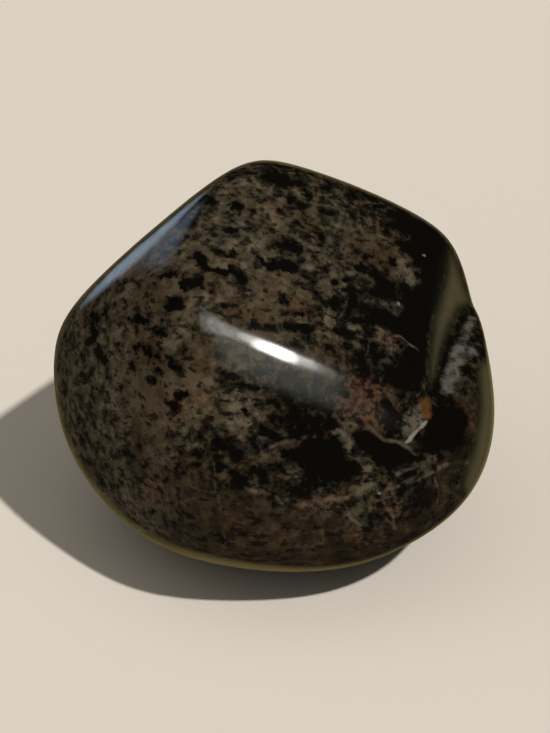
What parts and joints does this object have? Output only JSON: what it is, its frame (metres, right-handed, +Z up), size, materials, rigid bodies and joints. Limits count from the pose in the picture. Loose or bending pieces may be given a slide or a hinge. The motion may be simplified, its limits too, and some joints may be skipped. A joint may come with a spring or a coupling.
{
  "type": "tumbled stone",
  "caption": "Small tumbled nuummite pebble: a broken block of near-black rock worn round and polished, with a chipped hollow at one side and a small flat to rest on.",
  "frame": {"origin": "bottom centre of the stone's bounding box, on the surface that it rests on", "axes": "+Z up; +X to the right of the front, along the stone's longest side; the front of the stone faces -Y"},
  "size_m": [0.03, 0.027, 0.0267],
  "materials": {
    "polished_stone": "polished, near-black with brown-grey mottling"
  },
  "bodies": {
    "root": {"stone": "polished_stone"}
  },
  "joints": []
}
